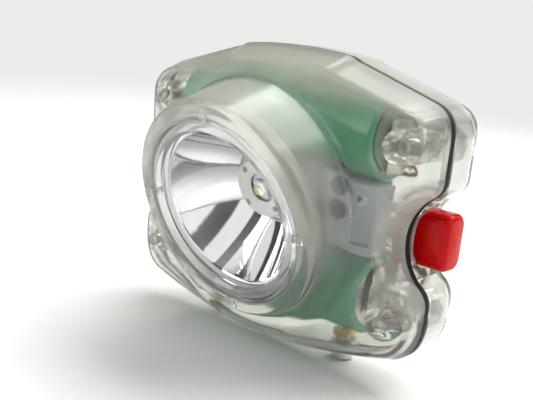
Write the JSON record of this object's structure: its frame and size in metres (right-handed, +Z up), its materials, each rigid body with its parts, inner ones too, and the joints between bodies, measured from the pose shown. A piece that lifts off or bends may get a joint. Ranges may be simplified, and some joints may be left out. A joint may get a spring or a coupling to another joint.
{
  "type": "cap lamp",
  "caption": "Cordless miner's cap lamp with a clear two-part housing, tilted lamp barrel with reflector, side push button, cells inside and a rear helmet hook.",
  "frame": {"origin": "on the flat back of the rear housing, where the helmet bracket's plate bears, level with the middle of the bezel", "axes": "+X towards the push button, +Y backwards out of the flat back, +Z up; the lamp faces -Y"},
  "size_m": [0.0789, 0.047, 0.0654],
  "materials": {
    "clear_housing": "clear polycarbonate",
    "black_rubber": "moulded rubber",
    "chrome": "vacuum-plated bowl",
    "white_plastic": "moulded",
    "phosphor": "LED phosphor under a clear dome",
    "board_green": "printed circuit board",
    "aluminium": "machined",
    "steel": "stainless",
    "cell_green": "shrink sleeve",
    "grey_plastic": "moulded",
    "black_plastic": "moulded",
    "nickel": "rolled nickel strip",
    "brass": "turned",
    "red_plastic": "glossy moulded",
    "red_wire": "wire insulation",
    "black_wire": "wire insulation"
  },
  "bodies": {
    "housing": {"bezel_ring": "clear_housing", "button_seal": "black_rubber", "button_spring": "steel", "cell_lead_negative": "black_wire", "cell_lead_positive": "red_wire", "cell_link_strip": "nickel", "cell_spacer": "grey_plastic", "charge_chip": "black_plastic", "charge_lead_left": "black_wire", "charge_lead_right": "red_wire", "charging_nut_left": "brass", "charging_nut_right": "brass", "charging_seal_left": "black_rubber", "charging_seal_right": "black_rubber", "charging_stud_left": "steel", "charging_stud_right": "steel", "control_board": "board_green", "driver_chip": "black_plastic", "front_housing": "clear_housing", "heat_sink": "aluminium", "helmet_hook": "steel", "hook_insert_left": "brass", "hook_insert_right": "brass", "hook_screw_left": "steel", "hook_screw_right": "steel", "housing_gasket": "black_rubber", "housing_screw_1": "steel", "housing_screw_2": "steel", "housing_screw_3": "steel", "housing_screw_4": "steel", "inductor": "black_plastic", "led_board": "aluminium", "led_board_screw_left": "steel", "led_board_screw_right": "steel", "led_lead_left": "red_wire", "led_lead_right": "black_wire", "led_spacer_ring": "white_plastic", "lower_cell": "steel", "lower_cell_insulator": "white_plastic", "lower_cell_wrap": "cell_green", "main_led": "phosphor", "negative_tab": "nickel", "positive_tab": "nickel", "rear_housing": "clear_housing", "reflector": "chrome", "switch_board": "board_green", "switch_body": "black_plastic", "switch_holder": "grey_plastic", "upper_cell": "steel", "upper_cell_insulator": "white_plastic", "upper_cell_wrap": "cell_green", "window": "clear_housing", "window_seal": "black_rubber"},
    "button": {"push_button": "red_plastic", "switch_plunger": "white_plastic"}
  },
  "joints": [
    {"name": "button_press", "type": "slide", "parent": "housing", "child": "button", "axis": [-1, 0, 0], "range_m": [0, 0.0015], "stiffness_N_per_m": 1500, "springref_m": -0.0007, "deforming": ["button_spring"]}
  ]
}
